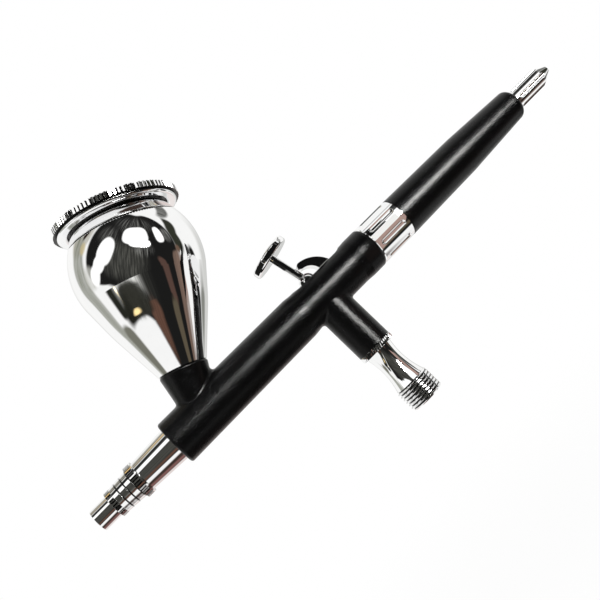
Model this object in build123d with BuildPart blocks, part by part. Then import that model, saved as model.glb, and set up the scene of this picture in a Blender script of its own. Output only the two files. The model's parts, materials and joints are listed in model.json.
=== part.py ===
from build123d import *

import os
from math import atan2, cos, pi, radians, sin, tan

os.makedirs("parts", exist_ok=True)

# A gravity-feed, dual-action airbrush. Millimetres, +Z up.
# The air hose's thread ends in the plane Z = 0 and its axis is the Z axis. The barrel lies along X
# at BARREL_HEIGHT, nozzle towards -X, handle towards +X. The colour cup stands on top, leaning back.

# ---------------------------------------------------------------- driving dimensions: outside
BARREL_HEIGHT = 36.8  # barrel axis above the end of the hose thread
BARREL_FRONT = 51.6  # valve axis to the barrel's front face
BARREL_REAR = 18.0  # valve axis to the barrel's rear face
BARREL_RADIUS = 6.15  # at the front face
BARREL_MID_RADIUS = 5.95  # in front of the trigger
WAIST_RADIUS = 5.7  # beside the trigger slot
COLLAR_RADIUS = 5.9  # behind the slot
WAIST_LEAD = 0.2  # the waist begins this far ahead of the valve housing's blend
WAIST_REAR = 11.2  # and ends this far behind the valve axis
WAIST_RAMP = 2.4  # length of the step at each end of the waist
BARREL_EDGE = 0.7  # rounding of the barrel's ends

CUP_LEAN = 21.0  # degrees that the cup leans back
CUP_SETBACK = 9.7  # barrel's front face to where the cup's axis meets the barrel's axis
BOSS_HEIGHT = 12.4  # along the cup's axis from the barrel's axis
BOSS_TOP_RADIUS = 6.4
BOSS_TAPER = 10.5  # degrees, narrowing towards the barrel
BOSS_LIP = 0.6
BOSS_FILLET = 0.9

HOUSING_RADIUS = 4.95  # air valve housing under the barrel
HOUSING_END = 18.5  # its lower end above the thread's end
HOUSING_FILLET = 0.8

CONE_LENGTH = 10.5  # chrome head cone in front of the barrel
CONE_REAR_RADIUS = 4.64
CONE_FRONT_RADIUS = 4.05
CAP_KNURL_LENGTH = 1.7  # knurled ring of the nozzle cap
CAP_KNURL_RADIUS = 4.6
CAP_EDGE_LENGTH = 0.4  # plain edge behind that ring
CAP_TEETH = 40
CAP_TOOTH_DEPTH = 0.35
RIB_LENGTH = 1.5
RIB_GROOVE = 0.35
RIB_COUNT = 3
RIB_REAR_RADIUS = 3.92
RIB_FRONT_RADIUS = 3.55
TIP_KNURL_LENGTH = 1.5  # knurled ring of the needle cap
TIP_KNURL_RADIUS = 3.6
TIP_TEETH = 32
TIP_TOOTH_DEPTH = 0.3
TIP_LENGTH = 5.0
TIP_RADIUS = 2.92

GRIP_LENGTH = 11.0  # fluted chrome ring
GRIP_RADIUS = 5.8
GRIP_FLUTES = 8
GRIP_FLUTE_WIDTH = 1.9
GRIP_FLUTE_LENGTH = 8.6
GRIP_FLUTE_DEPTH = 0.5
GRIP_FLUTE_START = 20.0  # degrees above the +Y side
GRIP_EDGE = 0.25

HANDLE_LENGTH = 46.6
HANDLE_RADIUS = 5.82
HANDLE_MID_RADIUS = 5.5  # where its taper grows steeper
HANDLE_MID_BACK = 25.0  # behind the grip ring
HANDLE_END_RADIUS = 4.4
HANDLE_END_ROUND = 1.4

KNOB_LENGTH = 14.6
KNOB_RADIUS = 2.82
KNOB_NOSE = 4.2  # length of the pointed end
KNOB_FLUTES = 6
KNOB_FLUTE_WIDTH = 1.5
KNOB_FLUTE_DEPTH = 0.6
KNOB_FLUTE_START = 1.1  # plain band at the knob's foot
KNOB_FLUTE_ANGLE = 10.0  # degrees above the +Y side
KNOB_TIP_RADIUS = 0.9
KNOB_TIP_ROUND = 0.6

THREAD_RADIUS = 4.864  # G1/8 hose thread
THREAD_LENGTH = 6.1
HOSE_FLARE_RADIUS = 4.5
HOSE_NECK_RADIUS = 3.42
HOSE_THROAT_RADIUS = 3.95  # just under the knurled ring
HOSE_RING_HEIGHT = 1.45
HOSE_RING_RADIUS = 5.05
HOSE_TEETH = 44
HOSE_TOOTH_DEPTH = 0.35
HOSE_NECK_RISE = 12.4  # narrowest place above the thread's end
INLET_RADIUS = 2.1  # air inlet bore

# ---------------------------------------------------------------- driving dimensions: cup and lid
# The cup's outline is three straight flanks whose two corners are rounded; rises are above the boss.
CUP_FOOT_RADIUS = 6.3
CUP_FLANK_RADIUS = 12.6  # lower corner
CUP_FLANK_RISE = 13.6
CUP_FLANK_ROUND = 60.0
CUP_BELLY_CORNER = 18.7  # upper corner, outside the round belly
CUP_BELLY_DROP = 11.8  # upper corner below the rim
CUP_BELLY_ROUND = 18.5
CUP_NECK_RADIUS = 12.2
CUP_HEIGHT = 41.8  # boss top to the cup's rim
CUP_WALL = 0.9
CUP_STEM_RADIUS = 4.4
CUP_STEM_LENGTH = 4.0
CUP_DRAIN_RADIUS = 2.2
CUP_FLOOR = 0.6  # where the funnel begins, above the boss top
LID_INSET = 0.15  # the belly is this much wider than the lid
LID_THICKNESS = 1.5
LID_RIM = 1.6  # width of the raised rim on top
LID_DISH = 0.4
LID_TEETH = 96
LID_TOOTH_DEPTH = 0.45
LID_BEAD_INSET = 0.9  # the smooth bead under the toothed rim is this much smaller
LID_BEAD_DEPTH = 1.1
LID_BEAD_ROUND = 0.7
LID_BEAD_GAP = 1.0  # between the bead and the cup's neck
LID_SKIRT_LENGTH = 2.6
LID_SKIRT_WALL = 0.9
LID_VENT_RADIUS = 0.6

# ---------------------------------------------------------------- driving dimensions: lever works
BORE_RADIUS = 4.3  # the barrel's bore around the levers and the spring
BORE_FRONT = 7.0  # it begins this far ahead of the valve axis
SLOT_FRONT = 5.1  # trigger slot in the top of the barrel, ahead of the valve axis
SLOT_REAR = 11.9  # and behind it
TRIGGER_PIVOT_DROP = 3.2  # trigger's foot pivot below the barrel's axis
TRIGGER_FOOT_RADIUS = 1.0
TRIGGER_NECK = 1.6  # thickness along the barrel just above the foot
TRIGGER_NECK_HEIGHT = 1.4  # above the pivot
TRIGGER_BLADE = 3.2  # thickness along the barrel at the needle
TRIGGER_BLADE_HEIGHT = 2.6  # above the pivot
TRIGGER_WIDTH = 2.8
BALL_RISE = 4.93  # centre of the trigger's ball above the barrel's axis
BALL_RADIUS = 2.33
STEM_LEAN = 11.7  # degrees that the stem leans forward
STEM_RADIUS = 1.05
STEM_LENGTH = 10.6  # ball centre to the underside of the button
BUTTON_RADIUS = 6.1
BUTTON_THICKNESS = 2.2
BUTTON_EDGE = 0.7
BUTTON_DISH = 0.35  # depth of the hollow under the finger
PRESS_TRAVEL = 2.3
PULL_ANGLE = 18.0

LEVER_PIVOT_BACK = 5.2  # auxiliary lever's foot behind the valve axis
LEVER_PIVOT_DROP = 3.0  # and below the barrel's axis
LEVER_FOOT_RADIUS = 0.85
LEVER_WIDTH = 3.6
LEVER_ARC_RADIUS = 7.8  # outer radius of its crescent
LEVER_ARC_BACK = 0.5  # centre of the crescent behind the valve axis
LEVER_ARC_RISE = 2.2  # and above the barrel's axis
LEVER_ARC_END = 22.0  # degrees above the barrel at which the crescent ends
LEVER_CRESCENT = 1.8  # its thickness at the nose
LEVER_NOSE_ANGLE = 84.0  # degrees above the barrel at which the nose lies
LEVER_THROAT_RISE = 5.0  # where the crescent's inner edge meets the leg
LEVER_THROAT_RADIUS = 3.6
LEVER_SHOULDER_RISE = 4.4  # where the leg's rear face ends
PULL_RATIO = 1.06  # auxiliary lever's turn for each degree of the trigger's

NEEDLE_RADIUS = 0.65
NEEDLE_TIP_INSET = 0.9  # the point stays this far inside the needle cap
NEEDLE_POINT_LENGTH = 12.0
NEEDLE_TAIL = 52.0  # rear end behind the valve axis
NEEDLE_TRAVEL = 2.25  # at full pull
NEEDLE_POINT_RADIUS = 0.05
NEEDLE_SLACK = 0.1  # around the needle in the levers

GUIDE_NOSE_RADIUS = 3.3  # the face that the auxiliary lever pushes
GUIDE_NOSE_LENGTH = 1.5
GUIDE_NECK_RADIUS = 2.6
GUIDE_NECK_LENGTH = 2.5
GUIDE_COLLAR_LENGTH = 1.5
GUIDE_TUBE_RADIUS = 1.9
GUIDE_TUBE_END = 36.5  # rear end of its tube behind the valve axis
CHUCK_RADIUS = 3.1
CHUCK_START = 32.0
CHUCK_LENGTH = 6.4
CHUCK_TEETH = 24
CHUCK_TOOTH_DEPTH = 0.35
COLLET_SLIT = 0.6

SPRING_GUIDE_START = 14.2
SPRING_GUIDE_END = 27.5
SPRING_GUIDE_RADIUS = 3.8
SPRING_GUIDE_WALL = 0.45
SPRING_SEAT = 1.5
NEEDLE_SPRING_RADIUS = 3.0
NEEDLE_SPRING_WIRE = 0.5
NEEDLE_SPRING_TURNS = 7

# ---------------------------------------------------------------- driving dimensions: head and needle seals
HEAD_SPIGOT_RADIUS = 2.95
HEAD_SPIGOT_LENGTH = 6.0
HEAD_NOSE_RADIUS = 2.8
HEAD_NOSE_LENGTH = 4.0
CHANNEL_RADIUS = 1.3  # colour channel around the needle
NOZZLE_SHANK_RADIUS = 2.05
NOZZLE_SHANK_LENGTH = 2.6
NOZZLE_FLANGE_RADIUS = 2.5
NOZZLE_FLANGE = 1.0
NOZZLE_CONE_LENGTH = 6.4
NOZZLE_CONE_RADIUS = 1.75
NOZZLE_TIP_RADIUS = 0.6
NOZZLE_TIP_BORE = 0.2
NOZZLE_SEAL = 0.5
AIR_CAP_NOSE_RADIUS = 2.4
AIR_CAP_NOSE_LENGTH = 3.4
AIR_CAP_ORIFICE = 0.95
TIP_OPENING_RADIUS = 2.3
PACKING_RADIUS = 2.15
PACKING_BACK = 18.1  # barrel's front face to the needle packing
PACKING_LENGTH = 2.0
PACKING_SCREW_LENGTH = 5.5
DRIVER_SLOT = 0.6  # width of the screwdriver slots
DRIVER_SLOT_DEPTH = 0.8

# ---------------------------------------------------------------- driving dimensions: valve and stop screw
PISTON_HEAD_RADIUS = 2.2
PISTON_HEAD_TOP = 3.0  # below the barrel's axis
PISTON_HEAD_HEIGHT = 1.8
PISTON_ROD_RADIUS = 1.2
WELL_DEPTH = 7.25  # piston's well below the barrel's axis
GUIDE_HOLE_LENGTH = 2.25
VALVE_PACKING_RADIUS = 2.1
VALVE_PACKING_HEIGHT = 0.9
VALVE_SPIGOT_RADIUS = 3.75
SEAT_LENGTH = 1.5
SEAT_RADIUS = 1.3
POPPET_STEM_RADIUS = 0.9
POPPET_TOP_DROP = 0.5  # its stem ends this far below the top of the valve body
POPPET_HEAD_RADIUS = 1.75
POPPET_HEAD_HEIGHT = 1.6
POPPET_SEAL_HEIGHT = 0.7
POPPET_SEAL_WALL = 0.7
VALVE_SPRING_RADIUS = 1.6
VALVE_SPRING_WIRE = 0.35
VALVE_SPRING_LENGTH = 7.5
VALVE_SPRING_TURNS = 7
VALVE_SCREW_LENGTH = 2.0
VALVE_SCREW_BORE = 1.0

HANDLE_SPIGOT_RADIUS = 4.6
HANDLE_SPIGOT_LENGTH = 5.0
HANDLE_BORE_RADIUS = 4.1
HANDLE_BORE_LENGTH = 24.0
STOP_ROD_RADIUS = 1.7
STOP_TAIL_RADIUS = 1.1
STOP_TAIL_LENGTH = 8.0
STOP_GAP = 0.3  # needle's tail to the stop rod at full pull

# ---------------------------------------------------------------- knurls
KNURL_LAND = 0.45  # share of each tooth left flat on top

# ---------------------------------------------------------------- clearances
RUNNING = 0.07  # radial, round anything that slides or turns
SEATED = 0.05  # radial, between screwed or pressed pieces
FACE_GAP = 0.05  # between faces that push each other
AXIAL_PLAY = 0.1

# ---------------------------------------------------------------- stations along the barrel
x_barrel_front = -BARREL_FRONT
x_cone_front = x_barrel_front - CONE_LENGTH
x_cap_knurl = x_cone_front - CAP_EDGE_LENGTH
x_ribs = x_cap_knurl - CAP_KNURL_LENGTH
rib_pitch = RIB_LENGTH + RIB_GROOVE
x_tip_knurl = x_ribs - RIB_COUNT * rib_pitch
x_tip = x_tip_knurl - TIP_KNURL_LENGTH
x_front = x_tip - TIP_LENGTH
x_waist = -HOUSING_RADIUS - HOUSING_FILLET - WAIST_LEAD
x_grip_rear = BARREL_REAR + GRIP_LENGTH
x_handle_rear = x_grip_rear + HANDLE_LENGTH
x_knob_rear = x_handle_rear + KNOB_LENGTH
x_cup = x_barrel_front + CUP_SETBACK
x_packing = x_barrel_front + PACKING_BACK
x_guide_face = LEVER_PIVOT_BACK + LEVER_FOOT_RADIUS + FACE_GAP
x_guide_collar = x_guide_face + GUIDE_NOSE_LENGTH + GUIDE_NECK_LENGTH
x_guide_tube = x_guide_collar + GUIDE_COLLAR_LENGTH
x_stop_rod = NEEDLE_TAIL + NEEDLE_TRAVEL + STOP_GAP

# ---------------------------------------------------------------- levels of the valve
z_knurl_bottom = HOUSING_END - HOSE_RING_HEIGHT
z_well = BARREL_HEIGHT - WELL_DEPTH
z_chamber = z_well - GUIDE_HOLE_LENGTH
z_piston_top = BARREL_HEIGHT - PISTON_HEAD_TOP
z_piston_shoulder = z_piston_top - PISTON_HEAD_HEIGHT
z_valve_top = z_chamber - AXIAL_PLAY
z_seat = z_valve_top - SEAT_LENGTH
z_poppet_head = z_seat - POPPET_SEAL_HEIGHT - FACE_GAP
z_poppet_base = z_poppet_head - POPPET_HEAD_HEIGHT
z_poppet_top = z_valve_top - POPPET_TOP_DROP
z_valve_screw = z_poppet_base - VALVE_SPRING_LENGTH

# ---------------------------------------------------------------- planes and axes
SIDE = Plane(origin=(0, 0, BARREL_HEIGHT), x_dir=(1, 0, 0), z_dir=(0, -1, 0))
BARREL_AXIS = Axis((0, 0, BARREL_HEIGHT), (1, 0, 0))
CUP_UP = (sin(radians(CUP_LEAN)), 0, cos(radians(CUP_LEAN)))
CUP_SIDE = Plane(
    origin=(x_cup, 0, BARREL_HEIGHT),
    x_dir=(cos(radians(CUP_LEAN)), 0, -sin(radians(CUP_LEAN))),
    z_dir=(0, -1, 0),
)
CUP_AXIS = Axis((x_cup, 0, BARREL_HEIGHT), CUP_UP)


def across_barrel(x):
    """The plane square to the barrel at x, facing the handle."""
    return Plane(origin=(x, 0, BARREL_HEIGHT), x_dir=(0, 1, 0), z_dir=(1, 0, 0))


def across_cup(height):
    """The plane square to the cup's axis, at a height above the barrel's axis."""
    centre = Vector(x_cup, 0, BARREL_HEIGHT) + Vector(*CUP_UP) * height
    return Plane(origin=centre, x_dir=(0, 1, 0), z_dir=CUP_UP)


def outline(side, points):
    """A closed profile through the given points on a side plane."""
    with BuildSketch(side) as profile:
        with BuildLine():
            Polyline(*points, close=True)
        make_face()
    return profile.sketch


def band(side, start, end, radius):
    """Half the section of a plain cylinder about the plane's X axis."""
    return outline(side, [(start, 0), (end, 0), (end, radius), (start, radius)])


def serration(radius, teeth, depth):
    """The corners of a straight knurl's section: flat-topped teeth with V-shaped grooves between."""
    step = 2 * pi / teeth
    corners = []
    for i in range(teeth):
        for side in (-KNURL_LAND / 2, KNURL_LAND / 2):
            crest = (i + side) * step
            corners.append((radius * cos(crest), radius * sin(crest)))
        valley = (i + 0.5) * step
        corners.append(((radius - depth) * cos(valley), (radius - depth) * sin(valley)))
    return corners


def cutter_radius(width, depth):
    """The radius of the ball-nosed cutter that leaves a groove of this width and depth."""
    return (width**2 / 4 + depth**2) / (2 * depth)


# ---------------------------------------------------------------- body: barrel, cup boss, valve housing
with BuildPart() as body_shell:
    with BuildSketch(SIDE) as barrel_side:
        with BuildLine():
            Polyline(
                (x_barrel_front, 0),
                (x_barrel_front, BARREL_RADIUS),
                (x_waist - WAIST_RAMP, BARREL_MID_RADIUS),
                (x_waist, WAIST_RADIUS),
                (WAIST_REAR, WAIST_RADIUS),
                (WAIST_REAR + WAIST_RAMP, COLLAR_RADIUS),
                (BARREL_REAR, COLLAR_RADIUS),
                (BARREL_REAR, 0),
                close=True,
            )
        make_face()
        ends = barrel_side.vertices().group_by(Axis.X)
        rims = [group.sort_by(Axis.Y)[-1] for group in (ends[0], ends[-1])]
        fillet(rims, BARREL_EDGE)
    revolve(axis=BARREL_AXIS)

    # the boss that carries the cup
    boss_foot = BOSS_TOP_RADIUS - BOSS_HEIGHT * tan(radians(BOSS_TAPER))
    with BuildSketch(CUP_SIDE) as boss_side:
        with BuildLine():
            Polyline(
                (0, 0), (boss_foot, 0), (BOSS_TOP_RADIUS, BOSS_HEIGHT), (0, BOSS_HEIGHT), close=True
            )
        make_face()
        boss_lip = (BOSS_TOP_RADIUS, BOSS_HEIGHT)
        fillet(boss_side.vertices().sort_by_distance(boss_lip)[0], BOSS_LIP)
    revolve(axis=CUP_AXIS)

    # the air valve's housing
    with BuildSketch(Plane.XY.offset(HOUSING_END)):
        Circle(HOUSING_RADIUS)
    extrude(amount=BARREL_HEIGHT - HOUSING_END)

    # blends where the boss and the housing meet the barrel
    joins = body_shell.edges().filter_by(
        lambda edge: edge.geom_type not in (GeomType.LINE, GeomType.CIRCLE)
    )
    fillet(joins.filter_by(lambda edge: edge.center().Z > BARREL_HEIGHT), BOSS_FILLET)
    joins = body_shell.edges().filter_by(
        lambda edge: edge.geom_type not in (GeomType.LINE, GeomType.CIRCLE)
        and edge.bounding_box().max.Z < BARREL_HEIGHT
        and abs(edge.center().X) < HOUSING_RADIUS + HOUSING_FILLET
    )
    fillet(joins, HOUSING_FILLET)

    # bores along the barrel: head socket, colour channel, needle packing, lever works
    socket_end = x_barrel_front + HEAD_SPIGOT_LENGTH + AXIAL_PLAY
    barrel_bores = [
        (x_barrel_front, socket_end, HEAD_SPIGOT_RADIUS + SEATED),
        (socket_end, x_packing, CHANNEL_RADIUS),
        (x_packing, -BORE_FRONT, PACKING_RADIUS + SEATED),
        (-BORE_FRONT, BARREL_REAR, BORE_RADIUS),
    ]
    for start, end, radius in barrel_bores:
        revolve(band(SIDE, start, end, radius), axis=BARREL_AXIS, mode=Mode.SUBTRACT)
    # the cup's socket and the drain into the colour channel
    socket_floor = BOSS_HEIGHT - CUP_STEM_LENGTH - AXIAL_PLAY
    revolve(
        outline(
            CUP_SIDE,
            [
                (0, 0),
                (CHANNEL_RADIUS, 0),
                (CUP_DRAIN_RADIUS, socket_floor),
                (CUP_STEM_RADIUS + SEATED, socket_floor),
                (CUP_STEM_RADIUS + SEATED, BOSS_HEIGHT),
                (0, BOSS_HEIGHT),
            ],
        ),
        axis=CUP_AXIS,
        mode=Mode.SUBTRACT,
    )
    # the trigger slot
    slot_width = 2 * (BALL_RADIUS + RUNNING)
    with BuildSketch(Plane.XY.offset(BARREL_HEIGHT)):
        with Locations(((SLOT_REAR - SLOT_FRONT) / 2, 0)):
            SlotOverall(SLOT_REAR + SLOT_FRONT, slot_width)
    extrude(amount=BARREL_RADIUS, mode=Mode.SUBTRACT)
    # the piston's well, its guide hole, the packing's recess and the valve chamber
    revolve(
        outline(
            Plane.XZ,
            [
                (0, HOUSING_END),
                (VALVE_SPIGOT_RADIUS + SEATED, HOUSING_END),
                (VALVE_SPIGOT_RADIUS + SEATED, z_chamber),
                (VALVE_PACKING_RADIUS + SEATED, z_chamber),
                (VALVE_PACKING_RADIUS + SEATED, z_chamber + VALVE_PACKING_HEIGHT),
                (PISTON_ROD_RADIUS + RUNNING, z_chamber + VALVE_PACKING_HEIGHT),
                (PISTON_ROD_RADIUS + RUNNING, z_well),
                (PISTON_HEAD_RADIUS + RUNNING, z_well),
                (PISTON_HEAD_RADIUS + RUNNING, BARREL_HEIGHT),
                (0, BARREL_HEIGHT),
            ],
        ),
        axis=Axis.Z,
        mode=Mode.SUBTRACT,
    )
body_shell.part.label = "body_shell"
export_step(body_shell.part, "parts/body_shell.step")

# ---------------------------------------------------------------- head: cone, nozzle, caps
x_head_nose = x_cone_front - HEAD_NOSE_LENGTH
x_nozzle_shank = x_head_nose + NOZZLE_SHANK_LENGTH
x_nozzle_cone = x_head_nose - NOZZLE_FLANGE
x_nozzle_tip = x_nozzle_cone - NOZZLE_CONE_LENGTH
x_air_cap_nose = x_tip_knurl - AIR_CAP_NOSE_LENGTH

with BuildPart() as head_base:
    revolve(
        outline(
            SIDE,
            [
                (x_head_nose, CHANNEL_RADIUS),
                (x_head_nose, HEAD_NOSE_RADIUS),
                (x_cone_front, HEAD_NOSE_RADIUS),
                (x_cone_front, CONE_FRONT_RADIUS),
                (x_barrel_front, CONE_REAR_RADIUS),
                (x_barrel_front, HEAD_SPIGOT_RADIUS),
                (x_barrel_front + HEAD_SPIGOT_LENGTH, HEAD_SPIGOT_RADIUS),
                (x_barrel_front + HEAD_SPIGOT_LENGTH, CHANNEL_RADIUS),
            ],
        ),
        axis=BARREL_AXIS,
    )
    # socket for the nozzle's shank and its seal
    socket = band(SIDE, x_head_nose, x_nozzle_shank + NOZZLE_SEAL, NOZZLE_SHANK_RADIUS + SEATED)
    revolve(socket, axis=BARREL_AXIS, mode=Mode.SUBTRACT)
head_base.part.label = "head_base"
export_step(head_base.part, "parts/head_base.step")

with BuildPart() as nozzle_seal:
    with BuildSketch(across_barrel(x_nozzle_shank)):
        Circle(NOZZLE_SHANK_RADIUS)
        Circle(CHANNEL_RADIUS, mode=Mode.SUBTRACT)
    extrude(amount=NOZZLE_SEAL)
nozzle_seal.part.label = "nozzle_seal"
export_step(nozzle_seal.part, "parts/nozzle_seal.step")

with BuildPart() as nozzle:
    revolve(
        outline(
            SIDE,
            [
                (x_nozzle_tip, NOZZLE_TIP_BORE),
                (x_nozzle_tip, NOZZLE_TIP_RADIUS),
                (x_nozzle_cone, NOZZLE_CONE_RADIUS),
                (x_nozzle_cone, NOZZLE_FLANGE_RADIUS),
                (x_head_nose, NOZZLE_FLANGE_RADIUS),
                (x_head_nose, NOZZLE_SHANK_RADIUS),
                (x_nozzle_shank, NOZZLE_SHANK_RADIUS),
                (x_nozzle_shank, CHANNEL_RADIUS),
                (x_nozzle_cone, CHANNEL_RADIUS),
            ],
        ),
        axis=BARREL_AXIS,
    )
nozzle.part.label = "nozzle"
export_step(nozzle.part, "parts/nozzle.step")

with BuildPart() as nozzle_cap:
    # the ribbed skirt, its nose for the needle cap, and the air cone inside
    rib_step = (RIB_REAR_RADIUS - RIB_FRONT_RADIUS) / RIB_COUNT
    skirt = [(x_ribs, CAP_KNURL_RADIUS - CAP_TOOTH_DEPTH)]
    for i in range(RIB_COUNT):
        rib_rear = x_ribs - i * rib_pitch
        rib_radius = RIB_REAR_RADIUS - i * rib_step
        skirt.append((rib_rear, rib_radius - RIB_GROOVE))
        skirt.append((rib_rear - RIB_GROOVE, rib_radius - RIB_GROOVE))
        skirt.append((rib_rear - RIB_GROOVE, rib_radius))
        skirt.append((rib_rear - rib_pitch, rib_radius - rib_step))
    revolve(
        outline(
            SIDE,
            skirt
            + [
                (x_tip_knurl, AIR_CAP_NOSE_RADIUS),
                (x_air_cap_nose, AIR_CAP_NOSE_RADIUS),
                (x_air_cap_nose, AIR_CAP_ORIFICE),
                (x_nozzle_cone - NOZZLE_FLANGE, NOZZLE_FLANGE_RADIUS),
                (x_nozzle_cone - NOZZLE_FLANGE, HEAD_NOSE_RADIUS + SEATED),
                (x_cone_front, HEAD_NOSE_RADIUS + SEATED),
                (x_cone_front, CAP_KNURL_RADIUS - CAP_TOOTH_DEPTH),
            ],
        ),
        axis=BARREL_AXIS,
    )
    with BuildSketch(across_barrel(x_ribs)):
        with BuildLine():
            Polyline(*serration(CAP_KNURL_RADIUS, CAP_TEETH, CAP_TOOTH_DEPTH), close=True)
        make_face()
        Circle(RIB_FRONT_RADIUS, mode=Mode.SUBTRACT)
    extrude(amount=CAP_KNURL_LENGTH)
    with BuildSketch(across_barrel(x_cap_knurl)):
        Circle(CAP_KNURL_RADIUS)
        Circle(RIB_FRONT_RADIUS, mode=Mode.SUBTRACT)
    extrude(amount=CAP_EDGE_LENGTH)
nozzle_cap.part.label = "nozzle_cap"
export_step(nozzle_cap.part, "parts/nozzle_cap.step")

with BuildPart() as needle_cap:
    revolve(
        outline(
            SIDE,
            [
                (x_front, TIP_OPENING_RADIUS),
                (x_front, TIP_RADIUS),
                (x_tip, TIP_RADIUS),
                (x_tip, TIP_KNURL_RADIUS - TIP_TOOTH_DEPTH),
                (x_tip_knurl, TIP_KNURL_RADIUS - TIP_TOOTH_DEPTH),
                (x_tip_knurl, AIR_CAP_NOSE_RADIUS + SEATED),
                (x_air_cap_nose - AXIAL_PLAY, AIR_CAP_NOSE_RADIUS + SEATED),
                (x_air_cap_nose - AXIAL_PLAY, TIP_OPENING_RADIUS),
            ],
        ),
        axis=BARREL_AXIS,
    )
    with BuildSketch(across_barrel(x_tip)):
        with BuildLine():
            Polyline(*serration(TIP_KNURL_RADIUS, TIP_TEETH, TIP_TOOTH_DEPTH), close=True)
        make_face()
        Circle(TIP_RADIUS, mode=Mode.SUBTRACT)
    extrude(amount=TIP_KNURL_LENGTH)
needle_cap.part.label = "needle_cap"
export_step(needle_cap.part, "parts/needle_cap.step")

# ---------------------------------------------------------------- needle seals
with BuildPart() as needle_packing:
    with BuildSketch(across_barrel(x_packing)):
        Circle(PACKING_RADIUS)
        Circle(NEEDLE_RADIUS + RUNNING, mode=Mode.SUBTRACT)
    extrude(amount=PACKING_LENGTH)
needle_packing.part.label = "needle_packing"
export_step(needle_packing.part, "parts/needle_packing.step")

with BuildPart() as packing_screw:
    with BuildSketch(across_barrel(x_packing + PACKING_LENGTH)):
        Circle(PACKING_RADIUS)
        Circle(NEEDLE_RADIUS + RUNNING + NEEDLE_SLACK, mode=Mode.SUBTRACT)
    extrude(amount=PACKING_SCREW_LENGTH)
    with BuildSketch(packing_screw.faces().sort_by(Axis.X)[-1]):
        Rectangle(DRIVER_SLOT, 3 * PACKING_RADIUS)
    extrude(amount=-DRIVER_SLOT_DEPTH, mode=Mode.SUBTRACT)
packing_screw.part.label = "packing_screw"
export_step(packing_screw.part, "parts/packing_screw.step")

# ---------------------------------------------------------------- colour cup and lid
cup_rim = BOSS_HEIGHT + CUP_HEIGHT
belly_rise = CUP_HEIGHT - CUP_BELLY_DROP
lower_flank = atan2(CUP_BELLY_CORNER - CUP_FLANK_RADIUS, belly_rise - CUP_FLANK_RISE)
upper_flank = atan2(CUP_BELLY_CORNER - CUP_NECK_RADIUS, CUP_BELLY_DROP)
half_turn = (lower_flank + upper_flank) / 2
belly_cut = cos((upper_flank - lower_flank) / 2) / cos(half_turn) - 1
belly_radius = CUP_BELLY_CORNER - CUP_BELLY_ROUND * belly_cut


def cup_profile(inset, start, base):
    """The cup's outline about its axis, an inset inside the outer wall, closed from the rim down to base.

    start is the radius and rise at which the lowest flank begins.
    """
    flank = (CUP_FLANK_RADIUS - inset, BOSS_HEIGHT + CUP_FLANK_RISE)
    belly = (CUP_BELLY_CORNER - inset, BOSS_HEIGHT + belly_rise)
    with BuildSketch(CUP_SIDE) as profile:
        with BuildLine():
            Polyline(*base, start, flank, belly, (CUP_NECK_RADIUS - inset, cup_rim), (0, cup_rim), close=True)
        make_face()
        for corner, rounding in ((flank, CUP_FLANK_ROUND), (belly, CUP_BELLY_ROUND)):
            fillet(profile.vertices().sort_by_distance(corner)[0], rounding - inset)
    return profile.sketch


with BuildPart() as cup:
    stem_end = BOSS_HEIGHT - CUP_STEM_LENGTH
    foot = (CUP_FOOT_RADIUS, BOSS_HEIGHT)
    stem = [(0, stem_end), (CUP_STEM_RADIUS, stem_end), (CUP_STEM_RADIUS, BOSS_HEIGHT)]
    revolve(cup_profile(0, foot, stem), axis=CUP_AXIS)
    # the inside: a straight drain under the funnel
    flank_slope = (CUP_FLANK_RADIUS - CUP_FOOT_RADIUS) / CUP_FLANK_RISE
    funnel = (CUP_FOOT_RADIUS - CUP_WALL + CUP_FLOOR * flank_slope, BOSS_HEIGHT + CUP_FLOOR)
    drain = [(0, stem_end), (CUP_DRAIN_RADIUS, stem_end), (CUP_DRAIN_RADIUS, BOSS_HEIGHT + CUP_FLOOR)]
    revolve(cup_profile(CUP_WALL, funnel, drain), axis=CUP_AXIS, mode=Mode.SUBTRACT)
cup.part.label = "cup"
export_step(cup.part, "parts/cup.step")

with BuildPart() as cup_lid:
    lid_radius = belly_radius - LID_INSET
    with BuildSketch(across_cup(cup_rim)):
        with BuildLine():
            Polyline(*serration(lid_radius, LID_TEETH, LID_TOOTH_DEPTH), close=True)
        make_face()
    extrude(amount=LID_THICKNESS)
    with BuildSketch(across_cup(cup_rim + LID_THICKNESS - LID_DISH)):
        Circle(lid_radius - LID_RIM)
    extrude(amount=LID_DISH, mode=Mode.SUBTRACT)
    # the skirt that drops into the cup's neck
    skirt_radius = CUP_NECK_RADIUS - CUP_WALL - RUNNING
    with BuildSketch(across_cup(cup_rim)):
        Circle(skirt_radius)
        Circle(skirt_radius - LID_SKIRT_WALL, mode=Mode.SUBTRACT)
    extrude(amount=-LID_SKIRT_LENGTH)
    # the smooth bead under the toothed rim
    bead_inner = CUP_NECK_RADIUS + LID_BEAD_GAP
    bead_outer = lid_radius - LID_BEAD_INSET
    with BuildSketch(CUP_SIDE) as bead:
        with Locations((bead_inner, cup_rim)):
            Rectangle(bead_outer - bead_inner, LID_BEAD_DEPTH, align=(Align.MIN, Align.MAX))
        fillet(bead.vertices().sort_by(Axis.Y)[:2], LID_BEAD_ROUND)
    revolve(axis=CUP_AXIS)
    with BuildSketch(across_cup(cup_rim)):
        Circle(LID_VENT_RADIUS)
    extrude(amount=LID_THICKNESS, mode=Mode.SUBTRACT)
cup_lid.part.label = "cup_lid"
export_step(cup_lid.part, "parts/cup_lid.step")

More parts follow.
